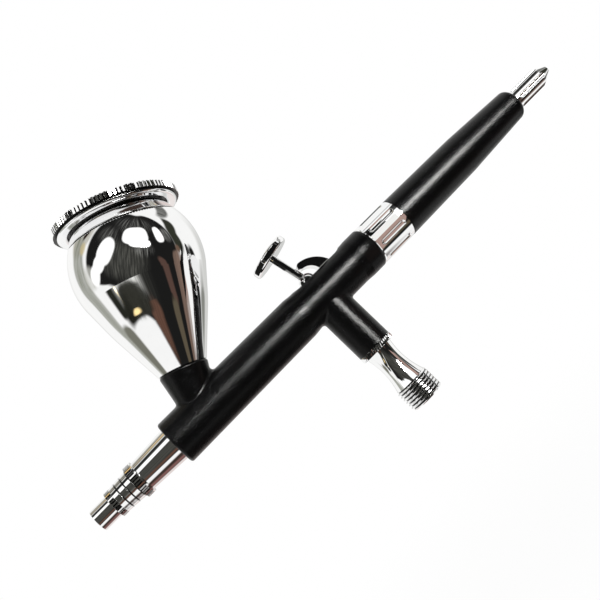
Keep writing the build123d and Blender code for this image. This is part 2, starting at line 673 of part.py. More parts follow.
# ---------------------------------------------------------------- trigger
pull = radians(PULL_ANGLE)
stem_tilt = radians(STEM_LEAN)
STEM_UP = (-sin(stem_tilt), 0, cos(stem_tilt))
ball_centre = Vector(0, 0, BARREL_HEIGHT + BALL_RISE)
STEM_SIDE = Plane(origin=ball_centre, x_dir=(cos(stem_tilt), 0, sin(stem_tilt)), z_dir=(0, -1, 0))
STEM_AXIS = Axis(ball_centre, STEM_UP)
needle_room = NEEDLE_RADIUS + NEEDLE_SLACK
slot_low = (TRIGGER_PIVOT_DROP - needle_room - TRIGGER_BLADE / 2 * sin(pull)) / cos(pull)
slot_high = (TRIGGER_PIVOT_DROP + PRESS_TRAVEL + needle_room + BALL_RADIUS * sin(pull)) / cos(pull)

with BuildPart() as trigger:
    # foot, blade and the ball that shows in the slot
    with BuildSketch(SIDE):
        with Locations((0, -TRIGGER_PIVOT_DROP)):
            Circle(TRIGGER_FOOT_RADIUS)
    extrude(amount=TRIGGER_WIDTH / 2, both=True)
    neck_level = TRIGGER_NECK_HEIGHT - TRIGGER_PIVOT_DROP
    blade_level = TRIGGER_BLADE_HEIGHT - TRIGGER_PIVOT_DROP
    with BuildSketch(SIDE):
        with BuildLine():
            Polyline(
                (-TRIGGER_NECK / 2, -TRIGGER_PIVOT_DROP),
                (TRIGGER_NECK / 2, -TRIGGER_PIVOT_DROP),
                (TRIGGER_NECK / 2, neck_level),
                (TRIGGER_BLADE / 2, blade_level),
                (TRIGGER_BLADE / 2, BALL_RISE),
                (-TRIGGER_BLADE / 2, BALL_RISE),
                (-TRIGGER_BLADE / 2, blade_level),
                (-TRIGGER_NECK / 2, neck_level),
                close=True,
            )
        make_face()
    extrude(amount=TRIGGER_WIDTH / 2, both=True)
    with Locations(ball_centre):
        Sphere(BALL_RADIUS)
    # the needle passes through this slot at every press and pull
    with BuildSketch(SIDE.offset(-needle_room)):
        with Locations((0, (slot_low + slot_high) / 2 - TRIGGER_PIVOT_DROP)):
            Rectangle(4 * BALL_RADIUS, slot_high - slot_low)
    extrude(amount=2 * needle_room, mode=Mode.SUBTRACT)
    # stem and finger button
    with BuildSketch(Plane(origin=ball_centre, x_dir=(0, 1, 0), z_dir=STEM_UP)):
        Circle(STEM_RADIUS)
    extrude(amount=STEM_LENGTH + BUTTON_EDGE)
    button_top = STEM_LENGTH + BUTTON_THICKNESS
    dish_radius = BUTTON_RADIUS - 2 * BUTTON_EDGE
    dish_curve = (dish_radius**2 + BUTTON_DISH**2) / (2 * BUTTON_DISH)
    dish_centre = button_top - BUTTON_DISH + dish_curve
    with BuildSketch(STEM_SIDE) as button_side:
        with BuildLine():
            Polyline(
                (0, button_top - BUTTON_DISH),
                (0, STEM_LENGTH),
                (BUTTON_RADIUS, STEM_LENGTH),
                (BUTTON_RADIUS, button_top),
                (dish_radius, button_top),
            )
            ThreePointArc(
                (dish_radius, button_top),
                (dish_radius / 2, dish_centre - (dish_curve**2 - dish_radius**2 / 4) ** 0.5),
                (0, button_top - BUTTON_DISH),
            )
        make_face()
        rim_middle = (BUTTON_RADIUS, STEM_LENGTH + BUTTON_THICKNESS / 2)
        fillet(button_side.vertices().sort_by_distance(rim_middle)[:2], BUTTON_EDGE)
    revolve(axis=STEM_AXIS)
trigger.part.label = "trigger"
export_step(trigger.part, "parts/trigger.step")

# ---------------------------------------------------------------- auxiliary lever
lever_turn = pull * PULL_RATIO
arc_centre = Vector(LEVER_ARC_BACK, LEVER_ARC_RISE)


def on_crescent(radius, angle):
    """A point at a radius and an angle from the crescent's centre, in the barrel's side plane."""
    return arc_centre + Vector(radius * cos(radians(angle)), radius * sin(radians(angle)))


with BuildPart() as auxiliary_lever:
    leg_front = LEVER_PIVOT_BACK - LEVER_FOOT_RADIUS
    leg_rear = LEVER_PIVOT_BACK + LEVER_FOOT_RADIUS
    nose_radius = LEVER_CRESCENT / 2
    nose_top = on_crescent(LEVER_ARC_RADIUS, LEVER_NOSE_ANGLE)
    nose_under = on_crescent(LEVER_ARC_RADIUS - LEVER_CRESCENT, LEVER_NOSE_ANGLE)
    nose_centre = (nose_top + nose_under) * 0.5
    along = radians(LEVER_NOSE_ANGLE + 90)
    nose_front = nose_centre + Vector(cos(along), sin(along)) * nose_radius
    crescent_end = on_crescent(LEVER_ARC_RADIUS, LEVER_ARC_END)
    crescent_mid = on_crescent(LEVER_ARC_RADIUS, (LEVER_NOSE_ANGLE + LEVER_ARC_END) / 2)
    throat = Vector(leg_front, LEVER_THROAT_RISE)
    with BuildSketch(SIDE):
        with BuildLine():
            ThreePointArc(nose_under, nose_front, nose_top)
            ThreePointArc(nose_top, crescent_mid, crescent_end)
            Polyline(crescent_end, (leg_rear, LEVER_SHOULDER_RISE), (leg_rear, -LEVER_PIVOT_DROP))
            ThreePointArc(
                (leg_rear, -LEVER_PIVOT_DROP),
                (LEVER_PIVOT_BACK, -LEVER_PIVOT_DROP - LEVER_FOOT_RADIUS),
                (leg_front, -LEVER_PIVOT_DROP),
            )
            Line((leg_front, -LEVER_PIVOT_DROP), throat)
            RadiusArc(throat, nose_under, -LEVER_THROAT_RADIUS)
        make_face()
    extrude(amount=LEVER_WIDTH / 2, both=True)
    # the fork that straddles the needle
    fork_top = (LEVER_PIVOT_DROP + needle_room + LEVER_FOOT_RADIUS * sin(lever_turn)) / cos(lever_turn)
    with BuildSketch(SIDE.offset(-needle_room)):
        with Locations((LEVER_PIVOT_BACK, fork_top - LEVER_PIVOT_DROP)):
            Rectangle(3 * LEVER_FOOT_RADIUS, 2 * fork_top, align=(Align.CENTER, Align.MAX))
    extrude(amount=2 * needle_room, mode=Mode.SUBTRACT)
auxiliary_lever.part.label = "auxiliary_lever"
export_step(auxiliary_lever.part, "parts/auxiliary_lever.step")

# ---------------------------------------------------------------- needle, its guide, chuck and spring
x_needle_tip = x_front + NEEDLE_TIP_INSET
with BuildPart() as needle:
    revolve(
        outline(
            SIDE,
            [
                (x_needle_tip, 0),
                (x_needle_tip, NEEDLE_POINT_RADIUS),
                (x_needle_tip + NEEDLE_POINT_LENGTH, NEEDLE_RADIUS),
                (NEEDLE_TAIL, NEEDLE_RADIUS),
                (NEEDLE_TAIL, 0),
            ],
        ),
        axis=BARREL_AXIS,
    )
needle.part.label = "needle"
export_step(needle.part, "parts/needle.step")

with BuildPart() as needle_guide:
    needle_hole = NEEDLE_RADIUS + SEATED
    revolve(
        outline(
            SIDE,
            [
                (x_guide_face, needle_hole),
                (x_guide_face, GUIDE_NOSE_RADIUS),
                (x_guide_face + GUIDE_NOSE_LENGTH, GUIDE_NOSE_RADIUS),
                (x_guide_face + GUIDE_NOSE_LENGTH, GUIDE_NECK_RADIUS),
                (x_guide_collar, GUIDE_NECK_RADIUS),
                (x_guide_collar, BORE_RADIUS - RUNNING),
                (x_guide_tube, BORE_RADIUS - RUNNING),
                (x_guide_tube, GUIDE_TUBE_RADIUS),
                (GUIDE_TUBE_END, GUIDE_TUBE_RADIUS),
                (GUIDE_TUBE_END, needle_hole),
            ],
        ),
        axis=BARREL_AXIS,
    )
    # the slits of the collet
    with BuildSketch(across_barrel(GUIDE_TUBE_END)):
        Rectangle(COLLET_SLIT, 3 * GUIDE_TUBE_RADIUS)
        Rectangle(3 * GUIDE_TUBE_RADIUS, COLLET_SLIT)
    extrude(amount=-CHUCK_LENGTH / 2, mode=Mode.SUBTRACT)
needle_guide.part.label = "needle_guide"
export_step(needle_guide.part, "parts/needle_guide.step")

with BuildPart() as chuck_nut:
    with BuildSketch(across_barrel(CHUCK_START)):
        with BuildLine():
            Polyline(*serration(CHUCK_RADIUS, CHUCK_TEETH, CHUCK_TOOTH_DEPTH), close=True)
        make_face()
    extrude(amount=CHUCK_LENGTH)
    chuck_bore = band(SIDE, CHUCK_START, GUIDE_TUBE_END + AXIAL_PLAY, GUIDE_TUBE_RADIUS + SEATED)
    revolve(chuck_bore, axis=BARREL_AXIS, mode=Mode.SUBTRACT)
    chuck_hole = band(SIDE, CHUCK_START, CHUCK_START + CHUCK_LENGTH, NEEDLE_RADIUS + SEATED)
    revolve(chuck_hole, axis=BARREL_AXIS, mode=Mode.SUBTRACT)
chuck_nut.part.label = "chuck_nut"
export_step(chuck_nut.part, "parts/chuck_nut.step")

with BuildPart() as spring_guide:
    guide_bore = SPRING_GUIDE_RADIUS - SPRING_GUIDE_WALL
    revolve(
        outline(
            SIDE,
            [
                (SPRING_GUIDE_START, guide_bore),
                (SPRING_GUIDE_START, BORE_RADIUS - SEATED),
                (BARREL_REAR, BORE_RADIUS - SEATED),
                (BARREL_REAR, SPRING_GUIDE_RADIUS),
                (SPRING_GUIDE_END, SPRING_GUIDE_RADIUS),
                (SPRING_GUIDE_END, GUIDE_TUBE_RADIUS + RUNNING),
                (SPRING_GUIDE_END - SPRING_SEAT, GUIDE_TUBE_RADIUS + RUNNING),
                (SPRING_GUIDE_END - SPRING_SEAT, guide_bore),
            ],
        ),
        axis=BARREL_AXIS,
    )
spring_guide.part.label = "spring_guide"
export_step(spring_guide.part, "parts/spring_guide.step")


def coil_path(start, direction, length, turns, outer_radius, wire_radius):
    """The centre line of a compression spring that starts at a point and runs in a direction."""
    with BuildLine() as path:
        Helix(
            pitch=(length - 2 * wire_radius) / turns,
            height=length - 2 * wire_radius,
            radius=outer_radius - wire_radius,
            center=Vector(*start) + Vector(*direction) * wire_radius,
            direction=direction,
        )
    return path.line


with BuildPart() as needle_spring:
    x_spring = x_guide_tube + FACE_GAP
    spring_room = SPRING_GUIDE_END - SPRING_SEAT - FACE_GAP - x_spring
    wire = NEEDLE_SPRING_WIRE / 2
    coil = coil_path(
        (x_spring, 0, BARREL_HEIGHT), (1, 0, 0), spring_room, NEEDLE_SPRING_TURNS, NEEDLE_SPRING_RADIUS, wire
    )
    with BuildSketch(Plane(origin=coil @ 0, z_dir=coil % 0)):
        RegularPolygon(wire, 6)
    sweep(path=coil, is_frenet=True)
needle_spring.part.label = "needle_spring"
export_step(needle_spring.part, "parts/needle_spring.step")

# ---------------------------------------------------------------- grip ring and handle
with BuildPart() as grip_ring:
    ring_bore = SPRING_GUIDE_RADIUS + SEATED
    with BuildSketch(across_barrel(BARREL_REAR)):
        Circle(GRIP_RADIUS)
    extrude(amount=GRIP_LENGTH)
    chamfer(grip_ring.edges().filter_by(GeomType.CIRCLE), GRIP_EDGE)
    with BuildSketch(across_barrel(x_grip_rear)):
        Circle(HANDLE_SPIGOT_RADIUS)
    extrude(amount=HANDLE_SPIGOT_LENGTH)
    with BuildSketch(across_barrel(BARREL_REAR)):
        Circle(ring_bore)
    extrude(amount=GRIP_LENGTH + HANDLE_SPIGOT_LENGTH, mode=Mode.SUBTRACT)
    # round-ended flutes round the ring
    cutter = cutter_radius(GRIP_FLUTE_WIDTH, GRIP_FLUTE_DEPTH)
    cutter_distance = GRIP_RADIUS - GRIP_FLUTE_DEPTH + cutter
    flute_run = GRIP_FLUTE_LENGTH - GRIP_FLUTE_WIDTH
    x_flute = BARREL_REAR + (GRIP_LENGTH - flute_run) / 2
    for i in range(GRIP_FLUTES):
        angle = radians(GRIP_FLUTE_START + i * 360 / GRIP_FLUTES)
        spot = (cutter_distance * cos(angle), cutter_distance * sin(angle))
        with BuildSketch(across_barrel(x_flute)):
            with Locations(spot):
                Circle(cutter)
        extrude(amount=flute_run, mode=Mode.SUBTRACT)
        for x in (x_flute, x_flute + flute_run):
            with Locations(across_barrel(x).from_local_coords(spot)):
                Sphere(cutter, mode=Mode.SUBTRACT)
grip_ring.part.label = "grip_ring"
export_step(grip_ring.part, "parts/grip_ring.step")

with BuildPart() as handle:
    with BuildSketch(SIDE) as handle_side:
        with BuildLine():
            Polyline(
                (x_grip_rear, 0),
                (x_grip_rear, HANDLE_RADIUS),
                (x_grip_rear + HANDLE_MID_BACK, HANDLE_MID_RADIUS),
                (x_handle_rear, HANDLE_END_RADIUS),
                (x_handle_rear, 0),
                close=True,
            )
        make_face()
        end_corner = (x_handle_rear, HANDLE_END_RADIUS)
        fillet(handle_side.vertices().sort_by_distance(end_corner)[0], HANDLE_END_ROUND)
    revolve(axis=BARREL_AXIS)
    handle_bores = [
        (x_grip_rear + HANDLE_SPIGOT_LENGTH + AXIAL_PLAY, HANDLE_SPIGOT_RADIUS + SEATED),
        (x_grip_rear + HANDLE_BORE_LENGTH, HANDLE_BORE_RADIUS),
        (x_handle_rear, STOP_ROD_RADIUS + RUNNING),
    ]
    for end, radius in handle_bores:
        revolve(band(SIDE, x_grip_rear, end, radius), axis=BARREL_AXIS, mode=Mode.SUBTRACT)
handle.part.label = "handle"
export_step(handle.part, "parts/handle.step")

# ---------------------------------------------------------------- needle stop: rod and fluted knob
with BuildPart() as stop_rod:
    with BuildSketch(across_barrel(x_stop_rod)):
        Circle(STOP_ROD_RADIUS)
    extrude(amount=x_handle_rear - x_stop_rod)
    with BuildSketch(across_barrel(x_handle_rear)):
        Circle(STOP_TAIL_RADIUS)
    extrude(amount=STOP_TAIL_LENGTH)
stop_rod.part.label = "stop_rod"
export_step(stop_rod.part, "parts/stop_rod.step")

with BuildPart() as stop_knob:
    with BuildSketch(SIDE) as knob_side:
        with BuildLine():
            Polyline(
                (x_handle_rear, 0),
                (x_handle_rear, KNOB_RADIUS),
                (x_knob_rear - KNOB_NOSE, KNOB_RADIUS),
                (x_knob_rear, KNOB_TIP_RADIUS),
                (x_knob_rear, 0),
                close=True,
            )
        make_face()
        tip_corner = (x_knob_rear, KNOB_TIP_RADIUS)
        fillet(knob_side.vertices().sort_by_distance(tip_corner)[0], KNOB_TIP_ROUND)
    revolve(axis=BARREL_AXIS)
    knob_cutter = cutter_radius(KNOB_FLUTE_WIDTH, KNOB_FLUTE_DEPTH)
    knob_cutter_distance = KNOB_RADIUS - KNOB_FLUTE_DEPTH + knob_cutter
    x_knob_flute = x_handle_rear + KNOB_FLUTE_START + KNOB_FLUTE_WIDTH / 2
    for i in range(KNOB_FLUTES):
        angle = radians(KNOB_FLUTE_ANGLE + i * 360 / KNOB_FLUTES)
        spot = (knob_cutter_distance * cos(angle), knob_cutter_distance * sin(angle))
        with BuildSketch(across_barrel(x_knob_flute)):
            with Locations(spot):
                Circle(knob_cutter)
        extrude(amount=KNOB_LENGTH, mode=Mode.SUBTRACT)
        with Locations(across_barrel(x_knob_flute).from_local_coords(spot)):
            Sphere(knob_cutter, mode=Mode.SUBTRACT)
    knob_bore = band(
        SIDE, x_handle_rear, x_handle_rear + STOP_TAIL_LENGTH + AXIAL_PLAY, STOP_TAIL_RADIUS + RUNNING
    )
    revolve(knob_bore, axis=BARREL_AXIS, mode=Mode.SUBTRACT)
stop_knob.part.label = "stop_knob"
export_step(stop_knob.part, "parts/stop_knob.step")

# ---------------------------------------------------------------- air valve
with BuildPart() as piston:
    with BuildSketch(Plane.XY.offset(z_piston_shoulder)):
        Circle(PISTON_HEAD_RADIUS)
    extrude(amount=PISTON_HEAD_HEIGHT)
    with BuildSketch(Plane.XY.offset(z_piston_shoulder)):
        Circle(PISTON_ROD_RADIUS)
    extrude(amount=z_poppet_top + FACE_GAP - z_piston_shoulder)
    # the groove in which the trigger's foot rocks
    with BuildSketch(SIDE):
        with Locations((0, -TRIGGER_PIVOT_DROP)):
            Circle(TRIGGER_FOOT_RADIUS + RUNNING)
    extrude(amount=2 * PISTON_HEAD_RADIUS, both=True, mode=Mode.SUBTRACT)
piston.part.label = "piston"
export_step(piston.part, "parts/piston.step")

with BuildPart() as piston_packing:
    with BuildSketch(Plane.XY.offset(z_chamber)):
        Circle(VALVE_PACKING_RADIUS)
        Circle(PISTON_ROD_RADIUS + RUNNING, mode=Mode.SUBTRACT)
    extrude(amount=VALVE_PACKING_HEIGHT - FACE_GAP)
piston_packing.part.label = "piston_packing"
export_step(piston_packing.part, "parts/piston_packing.step")

with BuildPart() as valve_body:
    with BuildSketch(Plane.XZ):
        with BuildLine():
            throat_rim = (HOSE_THROAT_RADIUS, z_knurl_bottom)
            flare_rim = (HOSE_FLARE_RADIUS, THREAD_LENGTH)
            ThreePointArc(flare_rim, (HOSE_NECK_RADIUS, HOSE_NECK_RISE), throat_rim)
            Polyline(
                throat_rim,
                (HOSE_RING_RADIUS - HOSE_TOOTH_DEPTH, z_knurl_bottom),
                (HOSE_RING_RADIUS - HOSE_TOOTH_DEPTH, HOUSING_END),
                (VALVE_SPIGOT_RADIUS, HOUSING_END),
                (VALVE_SPIGOT_RADIUS, z_valve_top),
                (SEAT_RADIUS, z_valve_top),
                (SEAT_RADIUS, z_seat),
                (INLET_RADIUS, z_seat),
                (INLET_RADIUS, 0),
                (THREAD_RADIUS, 0),
                (THREAD_RADIUS, THREAD_LENGTH),
                flare_rim,
            )
        make_face()
    revolve(axis=Axis.Z)
    with BuildSketch(Plane.XY.offset(z_knurl_bottom)):
        with BuildLine():
            Polyline(*serration(HOSE_RING_RADIUS, HOSE_TEETH, HOSE_TOOTH_DEPTH), close=True)
        make_face()
        Circle(HOSE_THROAT_RADIUS, mode=Mode.SUBTRACT)
    extrude(amount=HOSE_RING_HEIGHT)
valve_body.part.label = "valve_body"
export_step(valve_body.part, "parts/valve_body.step")

with BuildPart() as poppet:
    with BuildSketch(Plane.XY.offset(z_poppet_base)):
        Circle(POPPET_HEAD_RADIUS)
    extrude(amount=POPPET_HEAD_HEIGHT)
    with BuildSketch(Plane.XY.offset(z_poppet_head)):
        Circle(POPPET_STEM_RADIUS)
    extrude(amount=z_poppet_top - z_poppet_head)
poppet.part.label = "poppet"
export_step(poppet.part, "parts/poppet.step")

with BuildPart() as poppet_seal:
    with BuildSketch(Plane.XY.offset(z_poppet_head)):
        Circle(POPPET_STEM_RADIUS + SEATED + POPPET_SEAL_WALL)
        Circle(POPPET_STEM_RADIUS + SEATED, mode=Mode.SUBTRACT)
    extrude(amount=POPPET_SEAL_HEIGHT)
poppet_seal.part.label = "poppet_seal"
export_step(poppet_seal.part, "parts/poppet_seal.step")

with BuildPart() as valve_spring:
    z_spring = z_valve_screw + FACE_GAP
    spring_room = z_poppet_base - FACE_GAP - z_spring
    wire = VALVE_SPRING_WIRE / 2
    coil = coil_path((0, 0, z_spring), (0, 0, 1), spring_room, VALVE_SPRING_TURNS, VALVE_SPRING_RADIUS, wire)
    with BuildSketch(Plane(origin=coil @ 0, z_dir=coil % 0)):
        RegularPolygon(wire, 6)
    sweep(path=coil, is_frenet=True)
valve_spring.part.label = "valve_spring"
export_step(valve_spring.part, "parts/valve_spring.step")

with BuildPart() as valve_screw:
    with BuildSketch(Plane.XY.offset(z_valve_screw - VALVE_SCREW_LENGTH)):
        Circle(INLET_RADIUS - SEATED)
        Circle(VALVE_SCREW_BORE, mode=Mode.SUBTRACT)
    extrude(amount=VALVE_SCREW_LENGTH)
    with BuildSketch(Plane.XY.offset(z_valve_screw - VALVE_SCREW_LENGTH)):
        Rectangle(3 * INLET_RADIUS, DRIVER_SLOT)
    extrude(amount=DRIVER_SLOT_DEPTH, mode=Mode.SUBTRACT)
valve_screw.part.label = "valve_screw"
export_step(valve_screw.part, "parts/valve_screw.step")
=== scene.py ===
import json
from math import atan2, cos, pi, radians, sin, sqrt, tan

import bmesh
import bpy
from mathutils import Matrix, Vector


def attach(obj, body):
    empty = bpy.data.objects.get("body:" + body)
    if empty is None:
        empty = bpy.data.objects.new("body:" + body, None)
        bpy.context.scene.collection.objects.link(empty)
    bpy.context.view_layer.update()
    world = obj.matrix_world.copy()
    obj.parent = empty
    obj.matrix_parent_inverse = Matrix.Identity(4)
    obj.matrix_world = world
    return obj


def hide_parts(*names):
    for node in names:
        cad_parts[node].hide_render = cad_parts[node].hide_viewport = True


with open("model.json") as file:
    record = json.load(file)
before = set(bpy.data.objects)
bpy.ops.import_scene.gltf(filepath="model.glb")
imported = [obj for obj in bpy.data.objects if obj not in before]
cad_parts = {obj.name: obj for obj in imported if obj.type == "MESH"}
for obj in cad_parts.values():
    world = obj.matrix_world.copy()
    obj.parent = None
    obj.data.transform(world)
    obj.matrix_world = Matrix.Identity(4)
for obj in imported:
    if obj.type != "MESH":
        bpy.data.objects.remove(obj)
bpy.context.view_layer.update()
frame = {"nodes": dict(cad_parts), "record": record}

# A gravity-feed, dual-action airbrush. The frame's origin is the middle of the hose thread's end, the
# barrel lies along X with its nozzle towards -X, and the colour cup stands on top, leaning back.

nodes = frame["nodes"]
scene = bpy.context.scene
MM = 0.001

# ---------------------------------------------------------------- camera
CAMERA_PLACE = Vector((-43.10, -191.23, 23.97)) * MM
CAMERA_RIGHT = Vector((0.69274, -0.07882, -0.71686))
CAMERA_LOOK = Vector((0.19562, 0.97728, 0.08159))
CAMERA_SENSOR = 36.0  # width in millimetres
CAMERA_LENS = 46.47  # focal length in millimetres
CAMERA_NEAR = 0.01  # metres


def make_camera():
    """The photograph's camera, which is turned about its line of sight."""
    data = bpy.data.cameras.new("camera")
    data.lens = CAMERA_LENS
    data.sensor_width = CAMERA_SENSOR
    data.clip_start = CAMERA_NEAR
    camera = bpy.data.objects.new("camera", data)
    scene.collection.objects.link(camera)
    look = CAMERA_LOOK.normalized()
    right = (CAMERA_RIGHT - look * CAMERA_RIGHT.dot(look)).normalized()
    up = right.cross(look)
    turn = Matrix((right, up, -look)).transposed().to_4x4()
    camera.matrix_world = Matrix.Translation(CAMERA_PLACE) @ turn
    scene.camera = camera


# ---------------------------------------------------------------- node helpers
def maths(tree, operation, first, second=None):
    """A maths node fed by sockets or numbers."""
    node = tree.nodes.new("ShaderNodeMath")
    node.operation = operation
    for socket, value in zip(node.inputs, (first, second)):
        if isinstance(value, (int, float)):
            socket.default_value = value
        elif value is not None:
            tree.links.new(value, socket)
    return node.outputs[0]


def vector_maths(tree, operation, first, second=None):
    """A vector maths node fed by a socket and, where it takes two, a triple."""
    node = tree.nodes.new("ShaderNodeVectorMath")
    node.operation = operation
    tree.links.new(first, node.inputs[0])
    if second is not None:
        node.inputs[1].default_value = second
    return node.outputs["Value" if operation in ("DOT_PRODUCT", "LENGTH") else "Vector"]


def spread(tree, value, low, high, to_low=0.0, to_high=1.0, smooth=False):
    """value, carried from the range low..high to to_low..to_high."""
    node = tree.nodes.new("ShaderNodeMapRange")
    node.interpolation_type = "SMOOTHSTEP" if smooth else "LINEAR"
    tree.links.new(value, node.inputs["Value"])
    for name, number in (("From Min", low), ("From Max", high), ("To Min", to_low), ("To Max", to_high)):
        node.inputs[name].default_value = number
    return node.outputs["Result"]


def within(tree, value, low, high, soft):
    """1 where value is between low and high, with soft edges."""
    rise = spread(tree, value, low - soft / 2, low + soft / 2, smooth=True)
    fall = spread(tree, value, high - soft / 2, high + soft / 2, 1.0, 0.0, smooth=True)
    return maths(tree, "MULTIPLY", rise, fall)


def blend_colour(tree, factor, first, second):
    """A mix of two colours, each a socket or an RGB triple."""
    node = tree.nodes.new("ShaderNodeMix")
    node.data_type = "RGBA"
    tree.links.new(factor, node.inputs["Factor"])
    for socket, value in ((node.inputs[6], first), (node.inputs[7], second)):
        if isinstance(value, tuple):
            socket.default_value = (*value, 1.0)
        else:
            tree.links.new(value, socket)
    return node.outputs[2]


def blend_shaders(tree, factor, first, second):
    """A mix of two shader nodes, all of the first where the factor is 0."""
    node = tree.nodes.new("ShaderNodeMixShader")
    for socket, source in zip(node.inputs, (factor, first.outputs[0], second.outputs[0])):
        tree.links.new(source, socket)
    return node


def noise(tree, grain, detail=2.0, stretch=(1.0, 1.0, 1.0)):
    """Noise whose grains are about so many millimetres across, fixed to the piece."""
    place = tree.nodes.new("ShaderNodeTexCoord")
    mapping = tree.nodes.new("ShaderNodeMapping")
    mapping.vector_type = "POINT"
    mapping.inputs["Scale"].default_value = stretch
    tree.links.new(place.outputs["Object"], mapping.inputs["Vector"])
    texture = tree.nodes.new("ShaderNodeTexNoise")
    texture.inputs["Scale"].default_value = 1.0 / (grain * MM)
    texture.inputs["Detail"].default_value = detail
    tree.links.new(mapping.outputs["Vector"], texture.inputs["Vector"])
    return texture.outputs["Fac"]


def bump(tree, shader, height, depth, strength):
    """Bumps the shader by a height in 0..1 that stands for a depth in millimetres."""
    node = tree.nodes.new("ShaderNodeBump")
    node.inputs["Strength"].default_value = strength
    node.inputs["Distance"].default_value = depth * MM
    tree.links.new(height, node.inputs["Height"])
    tree.links.new(node.outputs["Normal"], shader.inputs["Normal"])


def new_material(name):
    """A material with its node tree and its Principled shader."""
    material = bpy.data.materials.new(name)
    material.use_nodes = True
    return material, material.node_tree, material.node_tree.nodes["Principled BSDF"]


# ---------------------------------------------------------------- materials
# Grains and depths are in millimetres. NOISE_SPAN is the range that a noise fills; a pair after it is the
# roughness at its two ends, or the shares of the material's own roughness.
NOISE_SPAN = (0.3, 0.7)
PAINT_DARK = (0.0022, 0.0022, 0.0024)
PAINT_LIGHT = (0.004, 0.004, 0.0042)
PAINT_GRAIN = 0.30
PAINT_CLOUD = 6.0
PAINT_ROUGHNESS = (0.20, 0.28)
PAINT_SPECULAR = 0.17
PAINT_DEPTH = 0.053
PAINT_STRENGTH = 0.9
POLISH_HAZE = 3.0
POLISH_GRAIN = 0.4
POLISH_SPAN = (0.2, 0.8)
POLISH_SHARES = (0.9, 1.15)
# Painted shade: the colour that the grooves of the plating are darkened to, standing in for the shade that
# falls in them.
GROOVE_PAINTED_SHADE = (0.035, 0.035, 0.034)
GROOVE_ROUGHNESS = 0.4
GROOVE_SHADE_EDGE = 0.06  # width over which a groove's painted shade fades
LATHE_GRAIN = 0.25
LATHE_STRETCH = (1.0, 0.02, 0.02)
LATHE_SHARES = (0.8, 1.3)
LATHE_DEPTH = 0.004
LATHE_STRENGTH = 0.4
SOFT_SHARES = (0.85, 1.1)
SOFT_DEPTH = 0.01
SOFT_STRENGTH = 0.3


def black_paint(name):
    """Satin black enamel with a fine orange-peel grain."""
    material, tree, shader = new_material(name)
    grain = noise(tree, PAINT_GRAIN, detail=3.0)
    cloud = noise(tree, PAINT_CLOUD)
    tree.links.new(blend_colour(tree, cloud, PAINT_DARK, PAINT_LIGHT), shader.inputs["Base Color"])
    tree.links.new(spread(tree, grain, *NOISE_SPAN, *PAINT_ROUGHNESS), shader.inputs["Roughness"])
    shader.inputs["Specular IOR Level"].default_value = PAINT_SPECULAR
    bump(tree, shader, grain, PAINT_DEPTH, PAINT_STRENGTH)
    return material


def groove_shade_mask(tree, point, axis, grooves):
    """1 in the grooves of a turned piece, where their shade is painted, each given by its range along the
    axis and its range of radius.
    """
    place = tree.nodes.new("ShaderNodeTexCoord")
    offset = vector_maths(tree, "SUBTRACT", place.outputs["Object"], [value * MM for value in point])
    along = vector_maths(tree, "DOT_PRODUCT", offset, axis)
    radius = vector_maths(tree, "LENGTH", vector_maths(tree, "CROSS_PRODUCT", offset, axis))
    total = None
    for start, end, inner, outer in grooves:
        there = within(tree, along, start * MM, end * MM, GROOVE_SHADE_EDGE * MM)
        deep = within(tree, radius, inner * MM, outer * MM, GROOVE_SHADE_EDGE * MM)
        mask = maths(tree, "MULTIPLY", there, deep)
        total = mask if total is None else maths(tree, "MAXIMUM", total, mask)
    return total


def polished(name, colour, tint, roughness, point=None, axis=None, grooves=()):
    """Bright plating with a faint haze in its polish, duller in its grooves, with the shade in them painted
    dark into its colour.
    """
    material, tree, shader = new_material(name)
    haze = noise(tree, POLISH_HAZE, detail=3.0)
    fine = noise(tree, POLISH_GRAIN)
    shade = blend_colour(tree, haze, colour, tint)
    dullness = spread(tree, fine, *POLISH_SPAN, *(roughness * share for share in POLISH_SHARES))
    if grooves:
        # painted shade: the grooves are darkened in colour because shade falls in them
        mask = groove_shade_mask(tree, point, axis, grooves)
        shade = blend_colour(tree, mask, shade, GROOVE_PAINTED_SHADE)
        dullness = maths(tree, "MAXIMUM", dullness, maths(tree, "MULTIPLY", mask, GROOVE_ROUGHNESS))
    tree.links.new(shade, shader.inputs["Base Color"])
    tree.links.new(dullness, shader.inputs["Roughness"])
    shader.inputs["Metallic"].default_value = 1.0
    return material


def grained(name, colour, tint, roughness, shares, *pattern):
    """A material whose colour and roughness follow one noise, with its tree, its shader and the noise."""
    material, tree, shader = new_material(name)
    texture = noise(tree, *pattern)
    tree.links.new(blend_colour(tree, texture, colour, tint), shader.inputs["Base Color"])
    ends = (roughness * share for share in shares)
    tree.links.new(spread(tree, texture, *NOISE_SPAN, *ends), shader.inputs["Roughness"])
    return material, tree, shader, texture


def turned(name, colour, tint, roughness):
    """Metal straight from the lathe, with fine rings about the barrel's axis."""
    pattern = (LATHE_GRAIN, 2.0, LATHE_STRETCH)
    material, tree, shader, rings = grained(name, colour, tint, roughness, LATHE_SHARES, *pattern)
    shader.inputs["Metallic"].default_value = 1.0
    bump(tree, shader, rings, LATHE_DEPTH, LATHE_STRENGTH)
    return material


def matt(name, colour, tint, roughness, grain):
    """PTFE or rubber: a matt surface with a fine grain."""
    material, tree, shader, texture = grained(name, colour, tint, roughness, SOFT_SHARES, grain, 3.0)
    bump(tree, shader, texture, SOFT_DEPTH, SOFT_STRENGTH)
    return material


# Axes of the turned pieces: a point in millimetres and a direction.
BARREL_RISE = 36.8
CUP_LEAN = radians(21.0)
BARREL = ((0.0, 0.0, BARREL_RISE), (1.0, 0.0, 0.0))
CUP = ((-41.9, 0.0, BARREL_RISE), (sin(CUP_LEAN), 0.0, cos(CUP_LEAN)))
VALVE = ((0.0, 0.0, 0.0), (0.0, 0.0, 1.0))
